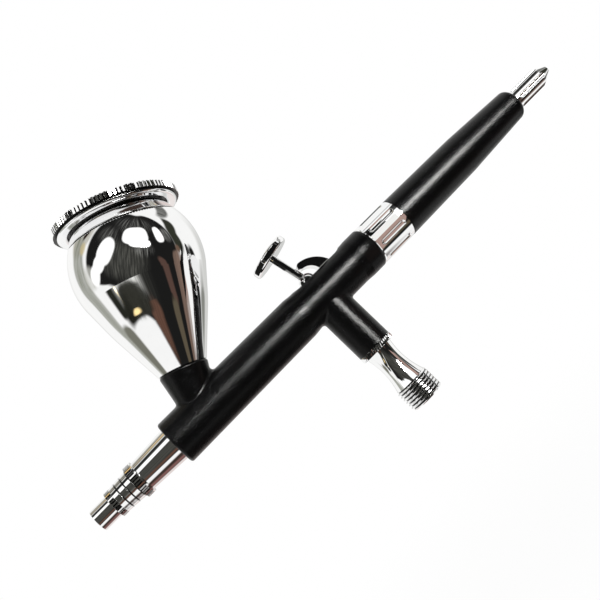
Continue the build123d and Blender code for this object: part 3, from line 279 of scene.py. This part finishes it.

# Grooves about those axes, where shade is painted into the plating's colour, in millimetres: a range along
# the axis and a range of radius.
LID_GROOVES = [
    (54.12, 55.67, 15.8, 16.62),  # between the rim's teeth
    (53.72, 54.25, 11.0, 16.6),  # under the rim, painted shade below the rim's step
]
CAP_GROOVES = [
    (-64.25, -62.52, 4.0, 4.56),  # between the teeth
    (-64.55, -64.2, 3.0, 6.0),  # the three cuts beside the ribs
    (-66.4, -66.05, 3.0, 6.0),
    (-68.25, -67.9, 3.0, 6.0),
]
TIP_GROOVES = [(-71.22, -69.78, 3.1, 3.57)]  # between the teeth
JOINT_GROOVES = [
    (17.08, 18.47, 4.2, 4.79),  # between the ring's teeth
    (0.3, 6.2, 4.2, 4.36),  # in the thread's roots
]

CHROME = ((0.94, 0.94, 0.945), (0.90, 0.90, 0.91), 0.035)
MATERIALS = {
    "black_paint": black_paint("black_paint"),
    "chrome": polished("chrome", *CHROME),
    # the lid, the caps and the joint carry painted shade in their grooves
    "chrome_lid": polished("chrome_lid", *CHROME, *CUP, LID_GROOVES),
    "chrome_cap": polished("chrome_cap", *CHROME, *BARREL, CAP_GROOVES),
    "chrome_tip": polished("chrome_tip", *CHROME, *BARREL, TIP_GROOVES),
    "chrome_joint": polished("chrome_joint", *CHROME, *VALVE, JOINT_GROOVES),
    "steel": turned("steel", (0.62, 0.62, 0.63), (0.52, 0.52, 0.53), 0.2),
    "brass": turned("brass", (0.78, 0.60, 0.30), (0.66, 0.49, 0.22), 0.24),
    "ptfe": matt("ptfe", (0.80, 0.80, 0.78), (0.72, 0.72, 0.70), 0.5, 0.5),
    "rubber": matt("rubber", (0.016, 0.016, 0.016), (0.03, 0.03, 0.03), 0.6, 0.3),
}
GROOVED = {"cup_lid": "chrome_lid", "nozzle_cap": "chrome_cap", "needle_cap": "chrome_tip"}


def dress_nodes():
    """Gives each CAD node the finish of its material slot, and the grooved ones their own."""
    for part in frame["record"]["subparts"]:
        piece = nodes[part["node"]]
        piece.data.materials.clear()
        piece.data.materials.append(MATERIALS[GROOVED.get(part["node"], part["material_slot"])])


# ---------------------------------------------------------------- mesh helpers
SHARP_ANGLE = 30.0  # degrees: an edge that turns by more stays sharp
WELD = 1e-7  # metres: nearer points become one


def turned_point(radius, angle, rise):
    """A point about the valve's axis."""
    return Vector((radius * cos(angle), radius * sin(angle), rise))


def circle(radius, rise, count):
    """Points of a circle about the valve's axis."""
    return [turned_point(radius, 2 * pi * i / count, rise) for i in range(count)]


def drawn_in(ring, radius):
    """The ring's points, moved straight to another radius."""
    return [Vector((radius * p.x / p.xy.length, radius * p.y / p.xy.length, p.z)) for p in ring]


def skin(mesh, rings):
    """Quads between neighbouring rings of as many points each, closed round and from last to first."""
    rows = [[mesh.verts.new(point * MM) for point in ring] for ring in rings]
    count = len(rows[0])
    for lower, upper in zip(rows, rows[1:] + rows[:1]):
        for i in range(count):
            j = (i + 1) % count
            mesh.faces.new((lower[i], lower[j], upper[j], upper[i]))


def new_piece(name, mesh, material):
    """The bmesh as an object, smooth but for its sharp edges."""
    bmesh.ops.remove_doubles(mesh, verts=mesh.verts, dist=WELD)
    bmesh.ops.dissolve_degenerate(mesh, edges=mesh.edges, dist=WELD)
    bmesh.ops.recalc_face_normals(mesh, faces=mesh.faces)
    data = bpy.data.meshes.new(name)
    mesh.to_mesh(data)
    mesh.free()
    data.polygons.foreach_set("use_smooth", [True] * len(data.polygons))
    data.set_sharp_from_angle(angle=radians(SHARP_ANGLE))
    data.materials.append(material)
    piece = bpy.data.objects.new(name, data)
    scene.collection.objects.link(piece)
    return piece


# ---------------------------------------------------------------- hose joint with its thread
# Millimetres; a rise is measured up the valve's axis from the thread's end.
THREAD_RADIUS = 4.864
THREAD_PITCH = 0.907
THREAD_DEPTH = 0.56
THREAD_FLAT = 0.18  # share of the pitch that the crest takes, and the root
THREAD_LENGTH = 6.1
THREAD_LEAD_IN = 0.45
THREAD_LEAD_DROP = 0.9  # share of the depth that the lead-in takes away
THREAD_STATIONS = 10  # rings in one pitch
FLARE_RADIUS = 4.5
NECK_RADIUS = 3.42
NECK_RISE = 12.4
NECK_STEPS = 22
THROAT_RADIUS = 3.95
RING_BOTTOM = 17.05
RING_TOP = 18.5
RING_RADIUS = 5.04
RING_TEETH = 44
RING_TOOTH_DEPTH = 0.36
RING_SLANT = 20.0  # degrees
RING_BEVEL = 0.14
RING_LAYERS = 3
RING_WALL = 0.6  # of the toothed band, under its teeth
CORE_DEPTH = 0.1  # of the joint's own metal, under the teeth
SPIGOT_RADIUS = 3.75
SPIGOT_TOP = 27.2
SEAT_RISE = 25.7
SEAT_RADIUS = 1.3
INLET_RADIUS = 2.1
INLET_CHAMFER = 0.3
JOINT_SEGMENTS = 96


def thread_radius(turn, rise):
    """Radius of the thread's surface at an angle, in turns, and a rise: flat crests and roots."""
    phase = (rise / THREAD_PITCH - turn) % 1.0
    climb = 2 * abs(phase - 0.5)  # 0 in the middle of the crest, 1 in the middle of the root
    height = min(max((1.0 - THREAD_FLAT - climb) / (1.0 - 2 * THREAD_FLAT), 0.0), 1.0)
    lead_in = max(0.0, THREAD_LEAD_IN - min(rise, THREAD_LENGTH - rise)) / THREAD_LEAD_IN
    root = THREAD_RADIUS - THREAD_DEPTH
    return root + THREAD_DEPTH * min(height, 1.0 - THREAD_LEAD_DROP * lead_in)


def thread_rings():
    """Rings that climb with the thread and are cut off level at its two ends."""
    rings = []
    for j in range(-THREAD_STATIONS, int((THREAD_LENGTH / THREAD_PITCH + 1) * THREAD_STATIONS) + 1):
        ring = []
        for i in range(JOINT_SEGMENTS):
            turn = i / JOINT_SEGMENTS
            rise = min(max((j / THREAD_STATIONS + turn) * THREAD_PITCH, 0.0), THREAD_LENGTH)
            ring.append(turned_point(thread_radius(turn, rise), 2 * pi * turn, rise))
        rings.append(ring)
    return rings


def circle_through(first, second, third):
    """The middle and the radius of the circle through three points of a plane."""
    (x1, y1), (x2, y2), (x3, y3) = first, second, third
    s1, s2, s3 = x1**2 + y1**2, x2**2 + y2**2, x3**2 + y3**2
    d = 2 * (x1 * (y2 - y3) + x2 * (y3 - y1) + x3 * (y1 - y2))
    x = (s1 * (y2 - y3) + s2 * (y3 - y1) + s3 * (y1 - y2)) / d
    y = (s1 * (x3 - x2) + s2 * (x1 - x3) + s3 * (x2 - x1)) / d
    return x, y, sqrt((x1 - x) ** 2 + (y1 - y) ** 2)


def neck_outline():
    """The waisted neck, as radius and rise: the arc through the flare, the neck and the throat."""
    flare = (FLARE_RADIUS, THREAD_LENGTH)
    throat = (THROAT_RADIUS, RING_BOTTOM)
    x, y, bend = circle_through(flare, (NECK_RADIUS, NECK_RISE), throat)
    start, end = (atan2(point[1] - y, point[0] - x) % (2 * pi) for point in (flare, throat))
    angles = [start + (end - start) * i / NECK_STEPS for i in range(NECK_STEPS + 1)]
    return [(x + bend * cos(angle), y + bend * sin(angle)) for angle in angles]


def toothed_band():
    """Rings of the band of teeth about the joint, closed inside, the teeth slanted to the axis."""
    lean = tan(radians(RING_SLANT)) / RING_RADIUS
    rings = []
    for k in range(RING_LAYERS + 1):
        rise = RING_BOTTOM + (RING_TOP - RING_BOTTOM) * k / RING_LAYERS
        crest = RING_RADIUS - (RING_BEVEL if k in (0, RING_LAYERS) else 0.0)
        ring = []
        for i in range(2 * RING_TEETH):
            radius = crest - (RING_TOOTH_DEPTH if i % 2 else 0.0)
            ring.append(turned_point(radius, pi * i / RING_TEETH + (rise - RING_BOTTOM) * lean, rise))
        rings.append(ring)
    inner = RING_RADIUS - RING_TOOTH_DEPTH - RING_WALL
    return [drawn_in(rings[0], inner), *rings, drawn_in(rings[-1], inner)]


def hose_joint():
    """The chrome hose joint: thread, waisted neck, slanted-tooth ring, spigot, seat and air inlet."""
    core = RING_RADIUS - RING_TOOTH_DEPTH - CORE_DEPTH
    inside = [
        (core, RING_BOTTOM),
        (core, RING_TOP),
        (SPIGOT_RADIUS, RING_TOP),
        (SPIGOT_RADIUS, SPIGOT_TOP),
        (SEAT_RADIUS, SPIGOT_TOP),
        (SEAT_RADIUS, SEAT_RISE),
        (INLET_RADIUS, SEAT_RISE),
        (INLET_RADIUS, INLET_CHAMFER),
    ]
    mouth = circle(INLET_RADIUS + INLET_CHAMFER, 0.0, JOINT_SEGMENTS)
    above = [circle(radius, rise, JOINT_SEGMENTS) for radius, rise in neck_outline() + inside]
    mesh = bmesh.new()
    skin(mesh, [mouth, *thread_rings(), *above])
    skin(mesh, toothed_band())
    piece = new_piece("hose_joint", mesh, MATERIALS["chrome_joint"])
    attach(piece, "airbrush")
    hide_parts("valve_body")


# ---------------------------------------------------------------- surroundings
FLOOR_DROP = 60.0  # millimetres below the thread's end
FLOOR_SIZE = 8.0  # metres
FLOOR_GRID = 8
FLOOR_PALE = 0.9  # the floor's own grey, and its roughness
FLOOR_FADE = (0.05, 0.22)  # metres from the middle, over which plain white takes over
FLOOR_WHITE = (0.93, 1.0)  # the share of plain white before and after
LAMP_SIZE = (1.2, 0.9)  # metres
LAMP_POWER = 9.0  # watts
LAMP_PLACE = Vector((-0.25, -0.45, 1.0))
LAMP_AIM = Vector((0.0, 0.0, 0.04))
MATT_LIGHT = (1.0, 0.99, 0.98)
MATT_STRENGTH = 0.5
WHITE = (1.0, 1.0, 1.0)
BRIGHT = (1.0, 1.0, 0.985)
ROOM = (0.012, 0.012, 0.0115)
WINDOW = (1.2, 1.2, 1.18)
SUN = (120.0, 120.0, 117.0)
# The room that bright metal shows stands askew to the airbrush: these are its right, front and up.
ROOM_RIGHT = (0.69274, -0.07882, -0.71686)
ROOM_FRONT = (-0.19562, -0.97728, -0.08159)
ROOM_UP = (0.69415, -0.19675, 0.69242)

# Its patches, each covering the ones before: a name for the reader, a colour, the middle's azimuth (0 is
# the front, growing to the right) and elevation, the half sizes, the roundness (2 is an oval, 8 nearly a
# rectangle), a turn, the share of the half size that its edge fades over, and how much it is broken into
# upright folds; all angles in degrees.
PATCHES = [
    ("sheet_right", (0.60, 0.605, 0.59), (180, 2), (26, 17), 2.0, 0, 0.9, 0.0),
    ("sheet_left", (0.60, 0.605, 0.59), (-180, -6), (24, 15), 2.0, 0, 0.9, 0.0),
    ("edge_right", (0.66, 0.665, 0.64), (157, 6), (9, 17), 2.0, 0, 0.9, 0.0),
    ("floor_far", (0.80, 0.70, 0.67), (150, -34), (26, 15), 2.5, 0, 0.4, 0.0),
    ("floor_right", (0.05, 0.034, 0.028), (94, -43), (42, 16), 3.5, 0, 0.15, 0.0),
    ("floor_stain", (0.22, 0.11, 0.10), (108, -54), (24, 4), 2.0, 0, 0.5, 0.0),
    ("beam_end", (0.036, 0.038, 0.029), (146, 58), (34, 6), 2.5, -12, 0.3, 0.2),
    ("beam", (0.034, 0.036, 0.026), (101, 51), (15, 9), 3.0, 32, 0.25, 0.0),
    ("curtain", (0.38, 0.36, 0.28), (-108, 30), (23, 24), 2.6, -38, 0.15, 0.4),
    ("rail", (0.24, 0.25, 0.20), (-99, -14), (14, 40), 3.0, 8, 0.25, 0.3),
    ("rail_low", (0.19, 0.19, 0.155), (-76, -48), (18, 5), 2.5, 0, 0.3, 0.0),
    ("room", ROOM, (2, 27), (82, 56), 5.0, 0, 0.03, 0.0),
    ("beam_side", (0.034, 0.037, 0.026), (92, 36), (9, 18), 2.6, 0, 0.25, 0.0),
    ("beam_knot", (0.16, 0.10, 0.07), (86, 24), (4, 5), 2.0, 30, 0.5, 0.0),
    ("pale_left", (0.62, 0.62, 0.57), (-77, -16), (11, 13), 2.4, 0, 0.3, 0.4),
    ("shelf", (0.03, 0.018, 0.012), (-112, 27), (4, 7), 2.0, 20, 0.4, 0.0),
    ("shelf_low", (0.025, 0.015, 0.009), (-96, 31), (4, 9), 2.0, -20, 0.3, 0.0),
    ("shelf_top", (0.045, 0.04, 0.025), (-100, 62), (5, 13), 2.0, 0, 0.3, 0.5),
    ("brass_rail", (0.85, 0.60, 0.26), (-102, 37), (6, 4), 2.0, 0, 0.4, 0.0),
    ("cream", (0.62, 0.52, 0.28), (-92, 15), (6, 6), 2.0, 0, 0.4, 0.3),
    ("folds_high", (0.20, 0.20, 0.19), (2, 64), (44, 12), 2.0, 0, 0.6, 1.0),
    ("folds_left", (0.16, 0.16, 0.15), (-48, 40), (17, 11), 2.0, 0, 0.6, 0.9),
    ("folds_low", (0.10, 0.10, 0.088), (-12, 6), (34, 26), 2.4, -14, 0.4, 0.7),
    ("window_left", WINDOW, (-44, 18), (14, 20), 2.4, -18, 0.10, 0.0),
    ("window_gap", WINDOW, (-54, 0), (10, 13), 2.0, -30, 0.14, 0.0),
    ("window_low", WINDOW, (-64, -14), (9, 13), 2.2, -25, 0.20, 0.0),
    ("window_middle", WINDOW, (7, 46), (26, 14), 3.0, 4, 0.07, 0.0),
    ("window_foot", WINDOW, (15, 34.0), (20, 6.8), 2.8, 0, 0.08, 0.0),
    ("window_sun", SUN, (17, 33.5), (15, 4.2), 2.6, 0, 0.15, 0.0),
    ("window_right", WINDOW, (57, 47), (9, 12), 2.8, 0, 0.10, 0.0),
    ("window_far", (0.35, 0.35, 0.33), (74, 44), (6, 9), 2.5, 0, 0.4, 0.8),
    ("glints", (0.30, 0.30, 0.28), (20, 24), (14, 9), 2.0, 0, 0.7, 1.0),
    ("cloth_dark", (0.10, 0.058, 0.046), (54, 5), (12, 4.5), 2.2, -42, 0.3, 0.0),
    ("cloth", (0.23, 0.155, 0.12), (81, 5), (8.5, 17), 3.5, 6, 0.15, 0.3),
    ("wood_low", (0.14, 0.072, 0.05), (18, -21), (11, 6.5), 2.4, 24, 0.25, 0.2),
    ("olive_side", (0.11, 0.09, 0.06), (58, -10), (6, 8), 3.0, 10, 0.3, 0.0),
    ("bench", (0.016, 0.016, 0.012), (-20, -30.5), (34, 4.4), 3.0, 20, 0.25, 0.0),
    ("bench_left", (0.02, 0.021, 0.016), (-47, -35.5), (12, 3.2), 2.5, 15, 0.3, 0.0),
    ("bench_folds", (0.055, 0.055, 0.046), (-10, -27), (20, 5), 2.0, 20, 0.5, 0.8),
    ("lamp", (1.3, 1.0, 0.48), (-20, -31.4), (9, 0.9), 2.0, 20, 0.5, 0.0),
    ("sill", (1.0, 1.0, 0.95), (-15, -24.0), (24, 0.8), 6.0, 20, 0.4, 0.3),
    ("sill_glint", (2.4, 2.1, 1.4), (-36, -32.0), (2, 0.45), 2.0, 20, 0.5, 0.0),
    ("post", ROOM, (118, 4), (8, 19), 3.0, 15, 0.2, 0.0),
    ("arch_end", (0.26, 0.265, 0.24), (138, 2), (10, 5), 2.0, 0, 0.5, 0.0),
]

# The folds are noise over the room's angles: how fast it changes from side to side and from low to high
# for each degree, and the part of its range that the streaks fill.
FOLDS_ACROSS = 0.45
FOLDS_ALONG = 0.035
FOLDS_DETAIL = 3.0
FOLDS_SPAN = (0.42, 0.68)

# Upright cards close to the barrel that only polished metal sees, from one side: the two ends in plan and
# the range of height, in millimetres, the colour and the strength.
CARDS = [
    ("black_card", (28, -15), (-12, -15), (43.5, 58), (0.006, 0.006, 0.006), 1.0),
    ("side_card", (-17, -13), (-17, 10), (46, 60), (0.012, 0.012, 0.011), 1.0),
    ("white_card", (33, -20), (20, -20), (36, 46), (1.0, 1.0, 0.97), 0.95),
    ("rose_card", (35, -20), (18, -20), (8, 36), (0.42, 0.29, 0.25), 1.0),
]


def turned_axis(tree, across, along, middle, size, turn):
    """(across, along) less the middle, turned, over the half sizes; a pair of sockets."""
    right = maths(tree, "SUBTRACT", across, middle[0])
    up = maths(tree, "SUBTRACT", along, middle[1])
    c, s = cos(radians(turn)), sin(radians(turn))
    return [
        maths(tree, "ADD", maths(tree, "MULTIPLY", right, a / half), maths(tree, "MULTIPLY", up, b / half))
        for a, b, half in ((c, s, size[0]), (-s, c, size[1]))
    ]


def patch_mask(tree, across, along, middle, size, roundness, turn, fade):
    """1 inside a rounded patch of the room, falling to 0 over its soft edge."""
    terms = [
        maths(tree, "POWER", maths(tree, "ABSOLUTE", value), roundness)
        for value in turned_axis(tree, across, along, middle, size, turn)
    ]
    reach = maths(tree, "POWER", maths(tree, "ADD", *terms), 1.0 / roundness)
    return spread(tree, reach, 1.0 - fade, 1.0 + fade, 1.0, 0.0, smooth=True)


def upright_folds(tree, across, along):
    """Streaks that stand upright in the room, as hanging cloth gives, between 0 and 1."""
    place = tree.nodes.new("ShaderNodeCombineXYZ")
    tree.links.new(maths(tree, "MULTIPLY", across, FOLDS_ACROSS), place.inputs[0])
    tree.links.new(maths(tree, "MULTIPLY", along, FOLDS_ALONG), place.inputs[1])
    texture = tree.nodes.new("ShaderNodeTexNoise")
    texture.inputs["Scale"].default_value = 1.0
    texture.inputs["Detail"].default_value = FOLDS_DETAIL
    tree.links.new(place.outputs[0], texture.inputs["Vector"])
    return spread(tree, texture.outputs["Fac"], *FOLDS_SPAN, smooth=True)


def room_colour(tree):
    """The colour of the room in each direction: bright, with the patches laid over it."""
    place = tree.nodes.new("ShaderNodeTexCoord")
    right, front, up = (
        vector_maths(tree, "DOT_PRODUCT", place.outputs["Generated"], axis)
        for axis in (ROOM_RIGHT, ROOM_FRONT, ROOM_UP)
    )
    across = maths(tree, "DEGREES", maths(tree, "ARCTAN2", right, front))
    along = maths(tree, "DEGREES", maths(tree, "ARCSINE", up))
    folds = upright_folds(tree, across, along)
    colour = BRIGHT
    for _, paint, middle, size, roundness, turn, fade, broken in PATCHES:
        mask = patch_mask(tree, across, along, middle, size, roundness, turn, fade)
        if broken:
            mask = maths(tree, "MULTIPLY", mask, spread(tree, folds, 0.0, 1.0, 1.0 - broken, 1.0))
        colour = blend_colour(tree, mask, colour, paint)
    return colour


def make_world():
    """White for the camera, even light for matt surfaces, and the room for polished ones."""
    world = bpy.data.worlds.new("surroundings")
    scene.world = world
    world.use_nodes = True
    tree = world.node_tree
    tree.nodes.clear()
    polish, soft, seen = (tree.nodes.new("ShaderNodeBackground") for _ in range(3))
    tree.links.new(room_colour(tree), polish.inputs["Color"])
    soft.inputs["Color"].default_value = (*MATT_LIGHT, 1.0)
    soft.inputs["Strength"].default_value = MATT_STRENGTH
    seen.inputs["Color"].default_value = (*WHITE, 1.0)
    rays = tree.nodes.new("ShaderNodeLightPath")
    lit = blend_shaders(tree, rays.outputs["Is Glossy Ray"], soft, polish)
    final = blend_shaders(tree, rays.outputs["Is Camera Ray"], lit, seen)
    output = tree.nodes.new("ShaderNodeOutputWorld")
    tree.links.new(final.outputs[0], output.inputs["Surface"])


def make_floor():
    """A white floor that fades into the white surroundings and keeps a soft shadow under the airbrush."""
    mesh = bmesh.new()
    bmesh.ops.create_grid(mesh, x_segments=FLOOR_GRID, y_segments=FLOOR_GRID, size=FLOOR_SIZE / 2)
    data = bpy.data.meshes.new("floor")
    mesh.to_mesh(data)
    mesh.free()
    floor = bpy.data.objects.new("floor", data)
    floor.location = (0.0, 0.0, -FLOOR_DROP * MM)
    floor.visible_glossy = False
    scene.collection.objects.link(floor)
    material, tree, shader = new_material("floor_white")
    shader.inputs["Base Color"].default_value = (FLOOR_PALE, FLOOR_PALE, FLOOR_PALE, 1.0)
    shader.inputs["Roughness"].default_value = FLOOR_PALE
    shader.inputs["Specular IOR Level"].default_value = 0.0
    glow = tree.nodes.new("ShaderNodeEmission")
    rays = tree.nodes.new("ShaderNodeLightPath")
    place = tree.nodes.new("ShaderNodeTexCoord")
    far = vector_maths(tree, "LENGTH", place.outputs["Object"])
    white = spread(tree, far, *FLOOR_FADE, *FLOOR_WHITE, smooth=True)
    mix = blend_shaders(tree, maths(tree, "MULTIPLY", rays.outputs["Is Camera Ray"], white), shader, glow)
    tree.links.new(mix.outputs[0], tree.nodes["Material Output"].inputs["Surface"])
    data.materials.append(material)


def make_lamp():
    """One broad soft lamp from above and in front, for matt surfaces and the floor's shadow."""
    data = bpy.data.lights.new("softbox", "AREA")
    data.shape = "RECTANGLE"
    data.size, data.size_y = LAMP_SIZE
    data.energy = LAMP_POWER
    lamp = bpy.data.objects.new("softbox", data)
    lamp.location = LAMP_PLACE
    lamp.rotation_euler = (LAMP_AIM - LAMP_PLACE).to_track_quat("-Z", "Y").to_euler()
    lamp.visible_glossy = False
    scene.collection.objects.link(lamp)


def make_card(name, start, end, heights, colour, strength):
    """One of the cards, clear from behind."""
    low, high = heights
    corners = [(*start, low), (*end, low), (*end, high), (*start, high)]
    data = bpy.data.meshes.new(name)
    data.from_pydata([tuple(value * MM for value in corner) for corner in corners], [], [(0, 1, 2, 3)])
    card = bpy.data.objects.new(name, data)
    for kind in ("camera", "diffuse", "shadow", "transmission", "volume_scatter"):
        setattr(card, "visible_" + kind, False)
    scene.collection.objects.link(card)
    material, tree, _ = new_material(name)
    glow = tree.nodes.new("ShaderNodeEmission")
    glow.inputs["Color"].default_value = (*colour, 1.0)
    glow.inputs["Strength"].default_value = strength
    clear = tree.nodes.new("ShaderNodeBsdfTransparent")
    side = tree.nodes.new("ShaderNodeNewGeometry")
    mix = blend_shaders(tree, side.outputs["Backfacing"], glow, clear)
    tree.links.new(mix.outputs[0], tree.nodes["Material Output"].inputs["Surface"])
    data.materials.append(material)


make_camera()
dress_nodes()
hose_joint()
make_floor()
make_lamp()
for card in CARDS:
    make_card(*card)
make_world()
scene.view_settings.view_transform = "Standard"
